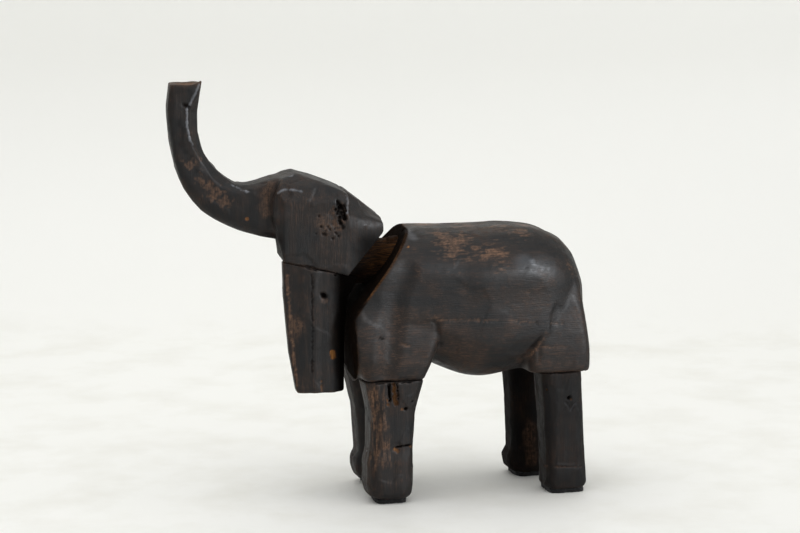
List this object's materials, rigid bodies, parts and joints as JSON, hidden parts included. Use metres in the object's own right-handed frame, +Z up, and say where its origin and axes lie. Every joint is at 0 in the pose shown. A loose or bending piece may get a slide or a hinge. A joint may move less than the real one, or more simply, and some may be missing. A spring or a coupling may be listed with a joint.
{
  "type": "carved elephant figurine",
  "caption": "Standing elephant figurine with a raised trunk, carved from separate blocks of wood that are pegged and glued, on padded feet.",
  "frame": {"origin": "on the floor plane, under the middle of the whole elephant's bounding box", "axes": "+X from the tail end toward the head, +Y toward the elephant's left, +Z up from the feet"},
  "size_m": [0.3762, 0.1226, 0.375],
  "materials": {
    "dark_wood": "ebonised, waxed and rubbed",
    "bare_wood": "raw, end of grain",
    "felt": "matt"
  },
  "bodies": {
    "root": {"torso": "dark_wood", "neck_peg": "bare_wood", "head": "dark_wood", "left_ear": "dark_wood", "right_ear": "dark_wood", "front_left_leg": "dark_wood", "front_right_leg": "dark_wood", "rear_left_leg": "dark_wood", "rear_right_leg": "dark_wood", "front_left_pad": "felt", "front_right_pad": "felt", "rear_left_pad": "felt", "rear_right_pad": "felt", "front_left_dowel_1": "bare_wood", "front_left_dowel_2": "bare_wood", "front_right_dowel_1": "bare_wood", "front_right_dowel_2": "bare_wood", "rear_left_dowel_1": "bare_wood", "rear_left_dowel_2": "bare_wood", "rear_right_dowel_1": "bare_wood", "rear_right_dowel_2": "bare_wood", "left_ear_dowel_1": "bare_wood", "left_ear_dowel_2": "bare_wood", "right_ear_dowel_1": "bare_wood", "right_ear_dowel_2": "bare_wood"}
  },
  "joints": []
}
